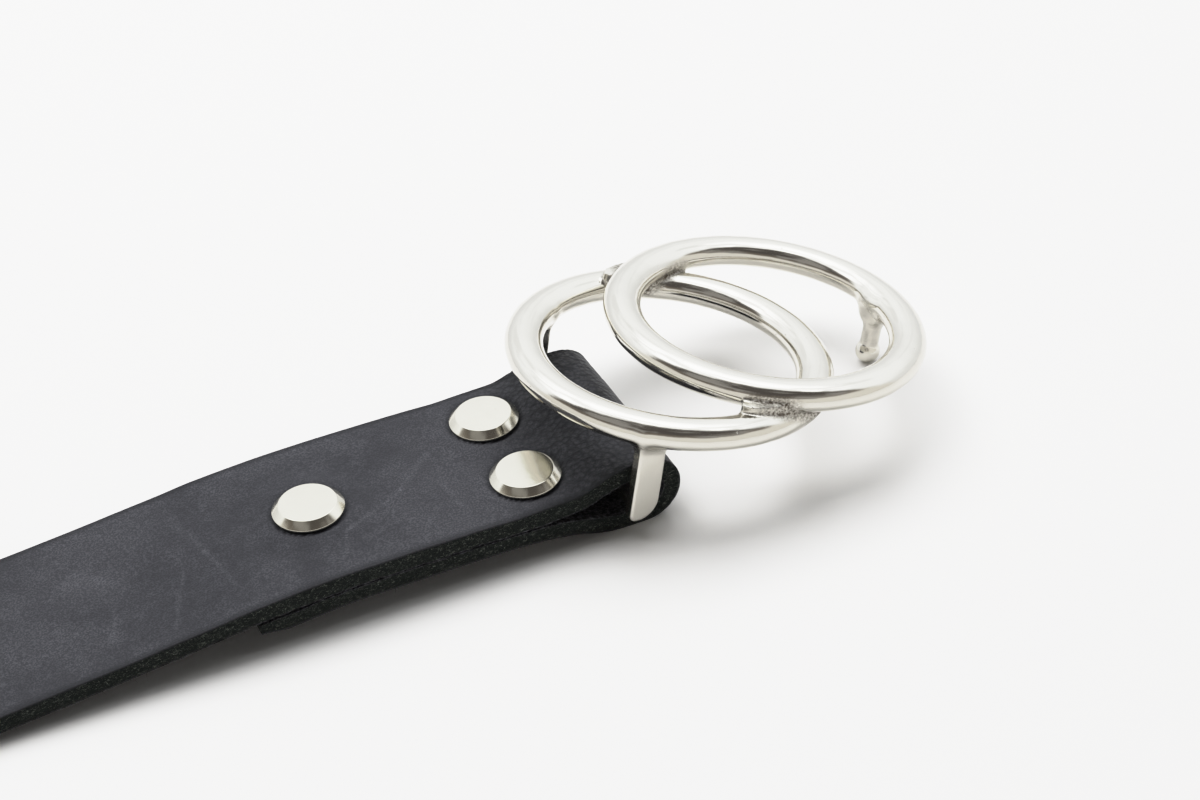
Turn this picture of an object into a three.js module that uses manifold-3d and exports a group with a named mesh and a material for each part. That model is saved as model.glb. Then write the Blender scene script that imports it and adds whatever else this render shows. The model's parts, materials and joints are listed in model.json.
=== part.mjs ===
// Black leather belt with a cast double ring buckle, unfastened and lying on a flat surface.
//
// Millimetres, +Z up. While it is built, the middle of the buckle's bar stands over x = 0, the strap
// runs back from it along -X, the rings reach forward along +X, and z = 0 is the surface below.
// At the end the whole belt is moved, so that the origin is the middle of its box, on that surface.

import * as THREE from 'three';
import { mergeVertices } from 'three/addons/utils/BufferGeometryUtils.js';
import Module from 'manifold-3d';

// Strap
const strapWidth = 30;
const leatherThickness = 2.6;
const skivedThickness = 2.3; // the turned-back end is pared thinner
const strapReach = 138; // from the bar back to the tip
const turnbackReach = 54; // from the bar back to the end of the folded-under layer
const touchdownReach = 115; // from the bar back to where the strap comes down to the surface
const touchdownEase = 1.5; // 1 comes down straight, more comes down in a hollow curve
const skiveReach = 16; // from the bar back to where the folded-under layer is fully pared
const foldBore = 5.2; // height of the hollow that the bar lies in
const foldAhead = 2.8; // from the bar to the middle of the fold's round front
const tipLength = 13;

// Prong holes in the strap's free end
const holeDiameter = 4;
const holeSpacing = 11;
const holeCount = 3;
const tipToHole = 13;

// Rivets
const capDiameter = 10.1;
const capFaceDiameter = 8.1;
const capHeight = 1.25;
const capRimHeight = 0.3;
const shankDiameter = 3;
const backCapDiameter = 8;
const backCapHeight = 0.8;
const pairSpread = 14.6; // between the two rivets beside the buckle
const pairBack = 12; // from the bar back to those two
const endToRearRivet = 12.8; // from the end of the turned-back layer to the rear rivet

// Buckle
const ringSectionWidth = 5.5;
const ringSectionHeight = 4.3;
const ringSideMargin = 4.15; // from the middle of a post out to the ring's widest centre line
const ringOffset = 15.7; // how far the front ring's centre lies ahead of the rear one's
const ringRaise = 3.2; // how far the front ring lies above the rear one
const ringHeight = 12.2; // from the bar up to the rear ring's middle plane
const barDiameter = 3.2;
const postWidth = 4.2;
const postThickness = 1.8;
const webLength = 11;
const webWidth = 4.2;
const webSetback = 2.2; // from where the rings cross back to the middle of the solder web
const prongInset = 1; // from the front ring's centre line in to the prong
const bossDiameter = 4.8;
const bossHeight = 3.4;
const stalkDiameter = 2.6;
const ballDiameter = 3.4;

// How the buckle lies: its rings slope down to the prong, and it is turned a little in the fold.
const buckleTilt = THREE.MathUtils.degToRad(10.9);
const buckleTurn = THREE.MathUtils.degToRad(3.44);

// Clearances
const rivetClearance = 0.3;
const barClearance = 0.4;
const postClearance = 0.9;

// Facets
const roundSides = 32;
const ringSides = 72;
const sectionSides = 14;
const webSides = 16;
const ballSteps = 10;
const foldSteps = 14;
const laySteps = 40;
const tailSteps = 16;
const tipSteps = 16;

// The two layers behind the bar. back is a share of the turn-back's reach, and upper and lower are the
// heights of their facing sides above the lower leather's inner side, as shares of the fold's bore.
const lay = [
  { back: 0.00, upper: 1.00, lower: 0.00 },
  { back: 0.04, upper: 0.89, lower: 0.01 },
  { back: 0.08, upper: 0.73, lower: 0.09 },
  { back: 0.13, upper: 0.57, lower: 0.25 },
  { back: 0.20, upper: 0.51, lower: 0.38 },
  { back: 0.30, upper: 0.49, lower: 0.45 },
  { back: 0.45, upper: 0.54, lower: 0.50 },
  { back: 0.78, upper: 0.56, lower: 0.52 },
  { back: 1.00, upper: 0.42, lower: 0.33 },
];

// Sizes that follow from the ones above
const barHeight = leatherThickness + barClearance + barDiameter / 2;
const postPlace = strapWidth / 2 + postClearance + postThickness / 2;
const ringRadius = postPlace + ringSideMargin;
const rearRingAhead = Math.sqrt(ringRadius ** 2 - postPlace ** 2);
const frontRingAhead = rearRingAhead + ringOffset;
const frontRingHeight = ringHeight + ringRaise;

const wasm = await Module();
wasm.setup();

const leather = new THREE.MeshStandardMaterial({ color: 0x35363b, roughness: 0.62, metalness: 0 });
const polishedMetal = new THREE.MeshStandardMaterial({ color: 0xdad8d3, roughness: 0.12, metalness: 1 });
const rivetMetal = new THREE.MeshStandardMaterial({ color: 0xd2cdb8, roughness: 0.2, metalness: 1 });

// Solids

function solidOf(geometry) {
  const bare = geometry.clone();
  bare.deleteAttribute('normal');
  bare.deleteAttribute('uv');
  const merged = mergeVertices(bare);
  return new wasm.Manifold(new wasm.Mesh({
    numProp: 3,
    vertProperties: new Float32Array(merged.getAttribute('position').array),
    triVerts: new Uint32Array(merged.getIndex().array),
  }));
}

function geometryOf(solid) {
  const mesh = solid.getMesh();
  const geometry = new THREE.BufferGeometry();
  geometry.setAttribute('position', new THREE.BufferAttribute(new Float32Array(mesh.vertProperties), 3));
  geometry.setIndex(new THREE.BufferAttribute(new Uint32Array(mesh.triVerts), 1));
  geometry.computeVertexNormals();
  return geometry;
}

function joined(geometries) {
  return geometries.map(solidOf).reduce((whole, piece) => whole.add(piece));
}

// A turned piece with its axis along Z. The outline is radius and height pairs, from axis to axis.
function turned(outline) {
  const points = outline.map(([radius, height]) => new THREE.Vector2(radius, height));
  return new THREE.LatheGeometry(points, roundSides).rotateX(Math.PI / 2);
}

// The strap's side view, in X and Z

function facingSide(column) {
  const knots = lay.map((row) => new THREE.Vector3(
    -row.back * turnbackReach,
    0,
    leatherThickness + row[column] * foldBore,
  ));
  return new THREE.CatmullRomCurve3(knots).getPoints(laySteps);
}

// The free end leaves the turned-back layer at that layer's height and comes down to the surface.
function freeEndUnderside(startHeight) {
  const points = [new THREE.Vector3(-strapReach, 0, 0)];
  for (let step = 0; step < tailSteps; step += 1) {
    const share = step / tailSteps;
    const x = -THREE.MathUtils.lerp(touchdownReach, turnbackReach, share);
    points.push(new THREE.Vector3(x, 0, startHeight * share ** touchdownEase));
  }
  return points;
}

function foldFront() {
  const points = [];
  for (let step = 0; step <= foldSteps; step += 1) {
    const angle = Math.PI * (0.5 - step / foldSteps);
    points.push(new THREE.Vector3(
      foldAhead + (foldBore / 2) * Math.cos(angle),
      0,
      leatherThickness + (foldBore / 2) * (1 + Math.sin(angle)),
    ));
  }
  return points;
}

// Left of the way the side runs, square to it
function outward(points, index) {
  const before = points[Math.max(0, index - 1)];
  const after = points[Math.min(points.length - 1, index + 1)];
  return new THREE.Vector3(before.z - after.z, 0, after.x - before.x).normalize();
}

function paredThickness(x) {
  const share = THREE.MathUtils.clamp(-x / skiveReach, 0, 1);
  return THREE.MathUtils.lerp(leatherThickness, skivedThickness, share);
}

const upperSide = facingSide('upper');
const lowerSide = facingSide('lower');

function sideView() {
  const upperRun = [...freeEndUnderside(upperSide[laySteps].z), ...upperSide.toReversed(), ...foldFront()];
  const run = [...upperRun, ...lowerSide];
  const grain = run.map((point, index) => {
    const thickness = index < upperRun.length ? leatherThickness : paredThickness(point.x);
    return point.clone().addScaledVector(outward(run, index), thickness);
  });
  return new THREE.Shape([...run, ...grain.reverse()].map((point) => new THREE.Vector2(point.x, point.z)));
}

// The strap's outline from above, with a plain rounded tip
function planView() {
  const front = foldAhead + foldBore + leatherThickness;
  const half = strapWidth / 2;
  const shape = new THREE.Shape();
  shape.moveTo(front, -half);
  shape.lineTo(front, half);
  shape.lineTo(tipLength - strapReach, half);
  shape.absellipse(tipLength - strapReach, 0, tipLength, half, Math.PI / 2, 1.5 * Math.PI, false, 0);
  shape.closePath();
  return shape;
}

// Where a rivet's head sits on the strap's top, how it leans and how thick the leather is there
function seat(back) {
  const after = upperSide.findIndex((point) => -point.x >= back);
  const along = (side) => {
    const share = (back + side[after - 1].x) / (side[after - 1].x - side[after].x);
    return new THREE.Vector3().lerpVectors(side[after - 1], side[after], share);
  };
  const upper = along(upperSide);
  const normal = outward([upperSide[after], upperSide[after - 1]], 0);
  const layers = leatherThickness + paredThickness(-back);
  return {
    place: upper.clone().addScaledVector(normal, leatherThickness + rivetClearance),
    lean: Math.atan2(normal.x, normal.z),
    grip: layers + upper.z - along(lowerSide).z + 2 * rivetClearance,
  };
}

const rivets = [
  { name: 'rivet_rear', back: turnbackReach - endToRearRivet, side: 0 },
  { name: 'rivet_near', back: pairBack, side: -pairSpread / 2 },
  { name: 'rivet_far', back: pairBack, side: pairSpread / 2 },
].map((rivet) => ({ ...rivet, ...seat(rivet.back) }));

// What a rivet takes out of the leather: the hole for its shank, and the dents that its caps press flat
function rivetRoom(grip) {
  const past = grip + leatherThickness;
  const shankRoom = shankDiameter / 2 + rivetClearance;
  const backCapRoom = backCapDiameter / 2 + rivetClearance;
  const capRoom = capDiameter / 2 + rivetClearance;
  return turned([
    [0, -past],
    [backCapRoom, -past],
    [backCapRoom, rivetClearance - grip],
    [shankRoom, rivetClearance - grip],
    [shankRoom, -rivetClearance],
    [capRoom, -rivetClearance],
    [capRoom, leatherThickness],
    [0, leatherThickness],
  ]);
}

function strap() {
  const margin = foldBore; // the side view and the outline from above each run past the other by this
  const height = foldBore + 2 * leatherThickness;
  const side = new THREE.ExtrudeGeometry(sideView(), {
    depth: strapWidth + 2 * margin,
    bevelEnabled: false,
  });
  side.rotateX(Math.PI / 2);
  side.translate(0, strapWidth / 2 + margin, 0);
  const plan = new THREE.ExtrudeGeometry(planView(), {
    depth: height + 2 * margin,
    bevelEnabled: false,
    curveSegments: tipSteps,
  });
  plan.translate(0, 0, -margin);
  let leatherStrap = solidOf(side).intersect(solidOf(plan));

  rivets.forEach(({ place, lean, side: across, grip }) => {
    const room = rivetRoom(grip);
    room.rotateY(lean);
    room.translate(place.x, across, place.z);
    leatherStrap = leatherStrap.subtract(solidOf(room));
  });

  for (let index = 0; index < holeCount; index += 1) {
    const hole = new THREE.CylinderGeometry(holeDiameter / 2, holeDiameter / 2, 2 * height, roundSides);
    hole.rotateX(Math.PI / 2);
    hole.translate(tipToHole + index * holeSpacing - strapReach, 0, 0);
    leatherStrap = leatherStrap.subtract(solidOf(hole));
  }
  return geometryOf(leatherStrap);
}

// A double-cap rivet: its origin is the middle of the head's underside, and its shank runs down.
function rivetSolid(grip) {
  return geometryOf(solidOf(turned([
    [0, -grip - backCapHeight],
    [backCapDiameter / 2, -grip - backCapHeight],
    [backCapDiameter / 2, -grip],
    [shankDiameter / 2, -grip],
    [shankDiameter / 2, 0],
    [capDiameter / 2, 0],
    [capDiameter / 2, capRimHeight],
    [capFaceDiameter / 2, capHeight],
    [0, capHeight],
  ])));
}

// The buckle, in its own frame: its bar lies along Y at the origin, the posts stand up along Z and the
// rings lie across Z, ahead along X.

function ring(ahead, height) {
  const section = [];
  for (let step = 0; step < sectionSides; step += 1) {
    const angle = (2 * Math.PI * step) / sectionSides;
    section.push(new THREE.Vector2(
      ringRadius + (ringSectionWidth / 2) * Math.cos(angle),
      (ringSectionHeight / 2) * Math.sin(angle),
    ));
  }
  section.push(section[0].clone());
  const band = new THREE.LatheGeometry(section, ringSides);
  band.rotateX(Math.PI / 2);
  band.translate(ahead, 0, height);
  return band;
}

// Solder where the rings cross, an oval column from one ring's middle to the other's
function web(side) {
  const column = new THREE.CylinderGeometry(1, 1, ringRaise, webSides);
  column.rotateX(Math.PI / 2);
  column.scale(webLength / 2, webWidth / 2, 1);
  const across = Math.sqrt(ringRadius ** 2 - (ringOffset / 2) ** 2);
  const ahead = rearRingAhead + ringOffset / 2 - webSetback;
  column.translate(ahead, side * across, ringHeight + ringRaise / 2);
  return column;
}

function post(side) {
  const outline = new THREE.Shape();
  outline.moveTo(postWidth / 2, ringHeight);
  outline.lineTo(-postWidth / 2, ringHeight);
  outline.lineTo(-postWidth / 2, 0);
  outline.absarc(0, 0, postWidth / 2, Math.PI, 2 * Math.PI, false);
  outline.closePath();
  const plate = new THREE.ExtrudeGeometry(outline, { depth: postThickness, bevelEnabled: false });
  plate.rotateX(Math.PI / 2);
  plate.translate(0, side * postPlace + postThickness / 2, 0);
  return plate;
}

function bar() {
  return new THREE.CylinderGeometry(barDiameter / 2, barDiameter / 2, 2 * postPlace, roundSides);
}

// The ball-ended prong hangs from the middle of the front ring's far side, and its ball stands on the
// surface.
function prong() {
  const ahead = frontRingAhead + ringRadius - prongInset;
  const ball = ballDiameter / 2;
  const drop = ahead * Math.sin(buckleTilt) + ball - barHeight;
  const ballHeight = drop / Math.cos(buckleTilt) - frontRingHeight;
  const neck = Math.asin(stalkDiameter / ballDiameter);
  const outline = [[0, 0], [bossDiameter / 2, 0], [bossDiameter / 2, -bossHeight]];
  outline.push([stalkDiameter / 2, -bossHeight]);
  for (let step = 0; step < ballSteps; step += 1) {
    const angle = THREE.MathUtils.lerp(neck, Math.PI, step / ballSteps);
    outline.push([ball * Math.sin(angle), ballHeight + ball * Math.cos(angle)]);
  }
  outline.push([0, ballHeight - ball]);
  const stud = turned(outline.reverse());
  stud.translate(ahead, 0, frontRingHeight);
  return stud;
}

function doubleRingBuckle() {
  return geometryOf(joined([
    bar(),
    post(-1),
    post(1),
    ring(rearRingAhead, ringHeight),
    ring(frontRingAhead, frontRingHeight),
    web(-1),
    web(1),
    prong(),
  ]));
}

// The belt

function named(name, geometry, material) {
  const mesh = new THREE.Mesh(geometry, material);
  mesh.name = name;
  return mesh;
}

const belt = new THREE.Group();
belt.add(named('strap', strap(), leather));

rivets.forEach(({ name, side, place, lean, grip }) => {
  const rivet = named(name, rivetSolid(grip), rivetMetal);
  rivet.position.set(place.x, side, place.z);
  rivet.rotation.y = lean;
  belt.add(rivet);
});

const buckle = new THREE.Group();
buckle.add(named('double_ring_buckle', doubleRingBuckle(), polishedMetal));
buckle.position.z = barHeight;
buckle.rotation.order = 'ZYX';
buckle.rotation.set(0, buckleTilt, buckleTurn);
belt.add(buckle);

const box = new THREE.Box3().setFromObject(belt, true);
belt.position.set(-(box.min.x + box.max.x) / 2, -(box.min.y + box.max.y) / 2, -box.min.z);
belt.updateMatrixWorld(true);

export default belt;
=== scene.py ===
"""A black leather belt with a cast double ring buckle and cap rivets, lying on a pale floor.

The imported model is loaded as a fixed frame, and each operator makes the fine surface of one piece in
it. Everything is in metres in the frame's own axes: X along the strap from its tip to the rings, Y
across the strap and Z up from the surface that the belt lies on.
"""

import json
import math

import bmesh
import bpy
import numpy as np
from bpy.props import FloatProperty, FloatVectorProperty, IntProperty, PointerProperty
from bpy.types import Operator, Panel, PropertyGroup
from mathutils import Matrix, Vector, noise

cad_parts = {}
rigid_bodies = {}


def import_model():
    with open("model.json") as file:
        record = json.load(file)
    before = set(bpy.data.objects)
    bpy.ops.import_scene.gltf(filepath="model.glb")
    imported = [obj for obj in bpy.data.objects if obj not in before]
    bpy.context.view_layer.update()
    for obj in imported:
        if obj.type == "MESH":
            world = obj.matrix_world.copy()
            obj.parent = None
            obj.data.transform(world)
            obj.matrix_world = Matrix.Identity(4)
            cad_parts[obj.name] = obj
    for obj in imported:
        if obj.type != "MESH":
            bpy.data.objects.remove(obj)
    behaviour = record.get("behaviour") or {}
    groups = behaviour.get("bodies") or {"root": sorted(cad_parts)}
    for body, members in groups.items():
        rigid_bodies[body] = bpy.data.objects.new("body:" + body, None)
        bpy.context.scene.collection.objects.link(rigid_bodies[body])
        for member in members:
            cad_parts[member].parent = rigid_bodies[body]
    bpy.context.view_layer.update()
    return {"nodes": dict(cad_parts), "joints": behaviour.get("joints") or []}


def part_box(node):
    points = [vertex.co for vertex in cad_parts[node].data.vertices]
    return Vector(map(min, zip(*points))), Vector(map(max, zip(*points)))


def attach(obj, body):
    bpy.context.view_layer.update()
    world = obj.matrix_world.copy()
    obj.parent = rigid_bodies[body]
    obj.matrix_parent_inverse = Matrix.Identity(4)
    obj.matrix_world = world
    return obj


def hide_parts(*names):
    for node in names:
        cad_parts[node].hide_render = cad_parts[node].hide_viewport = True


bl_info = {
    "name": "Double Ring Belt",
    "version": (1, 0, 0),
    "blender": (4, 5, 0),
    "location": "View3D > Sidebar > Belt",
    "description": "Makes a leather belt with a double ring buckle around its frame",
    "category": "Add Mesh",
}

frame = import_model()

MM = 0.001
SAME_PLACE = 1e-7
LEAST_SLOPE = 1e-6

HINGE = frame["joints"][0]
BAR = Vector(HINGE["pos_m"])
BUCKLE_TURN = math.atan2(HINGE["axis"][0], -HINGE["axis"][1])
STRAP_LOW, STRAP_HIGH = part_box("strap")
RIVETS = ("rivet_rear", "rivet_near", "rivet_far")


# Sizes and colours that a user would change

def length(name, description, millimetres):
    """A length, given in millimetres and kept in metres."""
    return FloatProperty(
        name=name,
        description=description,
        default=millimetres * MM,
        precision=5,
        subtype="DISTANCE",
        unit="LENGTH",
    )


def colour(name, description, red, green, blue):
    """A linear colour."""
    return FloatVectorProperty(
        name=name,
        description=description,
        default=(red, green, blue),
        min=0,
        max=1,
        subtype="COLOR",
    )


def share(name, description, default):
    """A number from 0 to 1."""
    return FloatProperty(name=name, description=description, default=default, min=0, max=1, subtype="FACTOR")


def angle(name, description, degrees):
    """An angle, given in degrees and kept in radians."""
    return FloatProperty(
        name=name,
        description=description,
        default=math.radians(degrees),
        subtype="ANGLE",
        unit="ROTATION",
    )


class StrapSettings(PropertyGroup):
    """The leather strap, folded round the buckle's bar and turned back under itself."""

    thickness: length("Thickness", "Thickness of the full leather", 2.6)
    pared: length("Pared thickness", "Thickness of the turned-back layer", 2.3)
    turnback: length("Turn-back", "From the bar back to the end of the layer below", 54)
    touchdown: length("Touchdown", "From the bar back to where the strap meets the floor", 115)
    skive: length("Skive", "From the bar back to where the layer below is fully pared", 16)
    fold_bore: length("Fold bore", "Height of the hollow that the bar lies in", 5.2)
    fold_ahead: length("Fold ahead", "From the bar to the middle of the fold's round front", 2.8)
    tip: length("Tip", "Length of the rounded tip", 13)
    hole: length("Prong hole", "Diameter of the prong holes", 4)
    hole_spacing: length("Hole spacing", "From one prong hole to the next", 11)
    hole_from_tip: length("First hole", "From the tip to the first prong hole", 13)
    holes: IntProperty(name="Prong holes", description="How many prong holes", default=3, min=0, max=8)
    edge: length("Grain edge", "Radius of the worn edge of the grain side", 0.32)
    raggedness: length("Raggedness", "How far the raw cut edge wanders", 0.15)
    grain: colour("Grain", "Leather's face between the scuffs", 0.0175, 0.0175, 0.0213)
    scuff: colour("Scuff", "Leather's face where it is scuffed pale", 0.19, 0.19, 0.21)
    cut: colour("Cut edge", "Raw edge of the leather", 0.009, 0.012, 0.011)
    fleck: colour("Cut edge flecks", "Pale fibres in the raw edge", 0.22, 0.24, 0.205)
    flesh: colour("Flesh side", "Leather's rough back", 0.016, 0.016, 0.018)


class FibreSettings(PropertyGroup):
    """Loose fibres along the strap's raw edges."""

    count: IntProperty(name="Fibres", description="How many loose fibres", default=520, min=0, max=4000)
    longest: length("Longest", "Length of the longest fibre", 0.95)
    thickness: length("Thickness", "Thickness of a fibre at its root", 0.035)


class BuckleSettings(PropertyGroup):
    """The cast buckle, in its own frame: bar along Y at the origin, posts up along Z."""

    tilt: angle("Tilt", "How far the rings slope down to the prong", 10.9)
    section_width: length("Ring width", "Width of a ring's oval section", 5.5)
    section_height: length("Ring height", "Height of a ring's oval section", 4.3)
    side_margin: length("Side margin", "From the middle of a post out to the ring's widest line", 4.15)
    ring_offset: length("Ring offset", "From one ring's centre to the other's", 15.7)
    ring_raise: length("Ring raise", "How far the front ring lies above the rear one", 3.2)
    ring_height: length("Ring height over bar", "From the bar up to the rear ring's middle plane", 12.2)
    post_place: length("Post place", "From the middle of the buckle to the middle of a post", 16.8)
    post_width: length("Post width", "Width of a post", 4.2)
    post_thickness: length("Post thickness", "Thickness of a post", 1.8)
    bar: length("Bar", "Diameter of the bar", 3.2)
    web_length: length("Web length", "Length of the solder between the rings", 13)
    web_width: length("Web width", "Width of the solder between the rings", 4.2)
    web_setback: length("Web setback", "From where the rings cross back to the solder's middle", 1.7)
    prong_inset: length("Prong inset", "From the front ring's centre line in to the prong", 0.7)
    boss: length("Boss", "Diameter of the prong's cast root", 4.8)
    boss_height: length("Boss height", "Height of the prong's cast root", 3.4)
    stalk: length("Stalk", "Diameter of the prong's stalk", 2.8)
    ball: length("Ball", "Diameter of the prong's ball", 3.7)
    polish: share("Polish roughness", "Roughness of the polished rings", 0.07)
    cast: share("Cast roughness", "Roughness where the casting is left unpolished", 0.3)
    metal: colour("Metal", "Polished white metal", 0.70, 0.678, 0.615)
    grime: colour("Grime", "Dull metal in the corners of the joints", 0.12, 0.10, 0.08)


class RivetSettings(PropertyGroup):
    """The cap rivets: flat bevelled cap, shank and plain back cap."""

    cap: length("Cap", "Diameter of the cap", 10.1)
    face: length("Face", "Diameter of the cap's flat face", 8.1)
    cap_height: length("Cap height", "Height of the cap", 1.25)
    rim: length("Rim", "Height of the cap's upright rim", 0.3)
    shank: length("Shank", "Diameter of the shank", 3)
    back_cap: length("Back cap", "Diameter of the back cap", 8)
    back_cap_height: length("Back cap height", "Height of the back cap", 0.8)
    dish: length("Dish", "How far the cap's face is dished", 0.035)
    metal: colour("Metal", "Nickel with a warm cast", 0.70, 0.675, 0.585)


class StageSettings(PropertyGroup):
    """Floor, lights and camera."""

    azimuth: angle("Azimuth", "Way from which the camera looks, from the -Y side round to -X", -23.43)
    elevation: angle("Elevation", "Height of the camera over the floor", 36.51)
    roll: angle("Roll", "How far the camera leans", -3.42)
    distance: length("Distance", "From the camera to the point that it looks at", 345.46)
    aim_ahead: length("Aim ahead", "From the bar to the point that the camera looks at, along X", 8.83)
    aim_across: length("Aim across", "From the bar to the point that the camera looks at, along Y", 13.59)
    lens: FloatProperty(name="Lens", description="Focal length in millimetres", default=69.23)
    floor: colour("Floor", "Pale floor", 0.89, 0.878, 0.862)


# Material nodes

class Reading:
    """A socket in a node tree. Arithmetic on it adds Math nodes."""

    def __init__(self, nodes, socket):
        self.nodes = nodes
        self.socket = socket

    def maths(self, operation, *values):
        """A Math node on these values."""
        return self.nodes.node("ShaderNodeMath", {"operation": operation}, dict(enumerate(values)))

    def __add__(self, other):
        return self.maths("ADD", self, other)

    def __radd__(self, other):
        return self.maths("ADD", other, self)

    def __sub__(self, other):
        return self.maths("SUBTRACT", self, other)

    def __rsub__(self, other):
        return self.maths("SUBTRACT", other, self)

    def __mul__(self, other):
        return self.maths("MULTIPLY", self, other)

    def __abs__(self):
        return self.maths("ABSOLUTE", self)


class Nodes:
    """A node tree, with one method that adds a node of any type."""

    def __init__(self, tree):
        self.tree = tree

    def fill(self, node, values):
        """Sets or links a node's input sockets, which are named or numbered. Colours have no alpha."""
        for key, value in values.items():
            socket = node.inputs[key]
            if isinstance(value, Reading):
                self.tree.links.new(value.socket, socket)
            else:
                socket.default_value = (*value, 1.0) if socket.type == "RGBA" else value

    def node(self, kind, settings=None, values=None, output=0):
        """Adds a node, sets it up and gives one of its outputs."""
        node = self.tree.nodes.new(kind)
        for name, value in (settings or {}).items():
            setattr(node, name, value)
        self.fill(node, values or {})
        return Reading(self, node.outputs[output])

    def step(self, value, low, high):
        """0 below low, 1 above high and a smooth rise between them."""
        return self.node(
            "ShaderNodeMapRange",
            {"interpolation_type": "SMOOTHSTEP"},
            {"Value": value, "From Min": low, "From Max": high},
        )

    def blend(self, factor, first, second):
        """A colour between two."""
        return self.node("ShaderNodeMix", {"data_type": "RGBA"}, {0: factor, 6: first, 7: second}, 2)

    def vector(self, operation, first, second, output="Vector"):
        """A Vector Math node on two vectors. The second of a SCALE is a number."""
        key = "Scale" if operation == "SCALE" else 1
        return self.node("ShaderNodeVectorMath", {"operation": operation}, {0: first, key: second}, output)


class Finish(Nodes):
    """A procedural material on the principled shader."""

    def __init__(self, name):
        self.material = bpy.data.materials.new(name)
        self.material.use_nodes = True
        super().__init__(self.material.node_tree)
        self.shader = self.tree.nodes["Principled BSDF"]
        self.place = self.node("ShaderNodeTexCoord", output="Object")

    def attribute(self, name, output="Fac"):
        """A number, or with Vector a place, that the piece's mesh carries."""
        return self.node("ShaderNodeAttribute", {"attribute_name": name}, output=output)

    def cloud(self, grain, detail=2.0, roughness=0.5, stretch=None, warp=0.0):
        """Noise with blobs about as large as grain, in metres."""
        place = self.place
        if stretch:
            place = self.node("ShaderNodeMapping", None, {"Vector": place, "Scale": stretch})
        values = {"Vector": place, "Scale": 1 / grain, "Detail": detail, "Roughness": roughness}
        return self.node("ShaderNodeTexNoise", None, {**values, "Distortion": warp})

    def cells(self, size, feature="F1", output="Distance"):
        """Distance within scattered cells of that size, in cell widths."""
        values = {"Vector": self.place, "Scale": 1 / size}
        return self.node("ShaderNodeTexVoronoi", {"feature": feature}, values, output)

    def relief(self, height, depth, under=None):
        """Bumps as deep as depth, in metres, over another relief."""
        values = {"Height": height, "Distance": depth, "Strength": 1.0}
        if under:
            values["Normal"] = under
        return self.node("ShaderNodeBump", None, values)

    def finish(self, **values):
        """Sets the shader's sockets, named with _ for spaces."""
        self.fill(self.shader, {name.replace("_", " "): value for name, value in values.items()})
        return self.material


# Meshes

def new_piece(name, mesh, material, body, slot, *nodes):
    """Puts a mesh in the scene as a piece that rides on a body and stands for CAD nodes."""
    mesh.name = name
    piece = bpy.data.objects.new(name, mesh)
    bpy.context.scene.collection.objects.link(piece)
    mesh.materials.clear()
    mesh.materials.append(material)
    for face in mesh.polygons:
        face.use_smooth = True
    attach(piece, body)
    if nodes:
        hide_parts(*nodes)
    return piece


def mesh_of(shape, name):
    """Turns a bmesh into a mesh and frees it."""
    mesh = bpy.data.meshes.new(name)
    shape.to_mesh(mesh)
    shape.free()
    return mesh


def worked(data, kind=None, **settings):
    """The mesh that a mesh or a curve makes, with one modifier applied where its kind is given."""
    holder = bpy.data.objects.new("holder", data)
    bpy.context.scene.collection.objects.link(holder)
    if kind:
        modifier = holder.modifiers.new("worked", kind)
        for name, value in settings.items():
            setattr(modifier, name, value)
    graph = bpy.context.evaluated_depsgraph_get()
    result = bpy.data.meshes.new_from_object(holder.evaluated_get(graph), depsgraph=graph)
    bpy.data.batch_remove([holder, data])
    return result


def points_of(mesh):
    """The mesh's vertices as rows of an array."""
    flat = np.empty(len(mesh.vertices) * 3)
    mesh.vertices.foreach_get("co", flat)
    return flat.reshape(-1, 3)


def set_points(mesh, points):
    """Moves the mesh's vertices."""
    mesh.vertices.foreach_set("co", np.ascontiguousarray(points).ravel())
    mesh.update()


def carry(mesh, **attributes):
    """Gives the mesh attributes, each with one number or one row of three for every vertex."""
    for name, values in attributes.items():
        kind, field = ("FLOAT", "value") if values.ndim == 1 else ("FLOAT_VECTOR", "vector")
        attribute = mesh.attributes.new(name, kind, "POINT")
        attribute.data.foreach_set(field, np.ascontiguousarray(values, dtype=np.float32).ravel())


def rumple(points, grain):
    """Soft noise from -1 to 1 at each point, with blobs about as large as grain."""
    return np.array([noise.noise(Vector(point) / grain) for point in points])


def smooth_share(value, low, high):
    """0 at low, 1 at high and smooth between them."""
    part = np.clip((value - low) / (high - low), 0, 1)
    return part * part * (3 - 2 * part)


# Strap

# The two layers behind the bar. back is a share of the turn-back's reach, and upper and lower are the
# heights of their facing sides above the lower leather's inner side, as shares of the fold's bore.
LAY = (
    {"back": 0.00, "upper": 1.00, "lower": 0.00},
    {"back": 0.04, "upper": 0.89, "lower": 0.01},
    {"back": 0.08, "upper": 0.73, "lower": 0.09},
    {"back": 0.13, "upper": 0.57, "lower": 0.25},
    {"back": 0.20, "upper": 0.51, "lower": 0.38},
    {"back": 0.30, "upper": 0.49, "lower": 0.45},
    {"back": 0.45, "upper": 0.54, "lower": 0.50},
    {"back": 0.78, "upper": 0.56, "lower": 0.52},
    {"back": 1.00, "upper": 0.42, "lower": 0.33},
)
TOUCHDOWN_EASE = 1.5
END_PARED = 0.35
END_REACH = 4 * MM
RUN_STEP = 0.1 * MM
RUN_SOFTNESS = 0.7 * MM
ROW_SPACING = 0.55 * MM
FOLD_ROW_SPACING = 0.22 * MM
FOLD_ZONE = 11 * MM
TIP_ROWS = 26
COLUMNS = 58
WALL_CUTS = 5
BEND_NEAR = 9 * MM
BEND_FAR = 25 * MM
FACE_SWELL = 0.1 * MM
CREASE_DEPTH = 0.11 * MM


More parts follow.
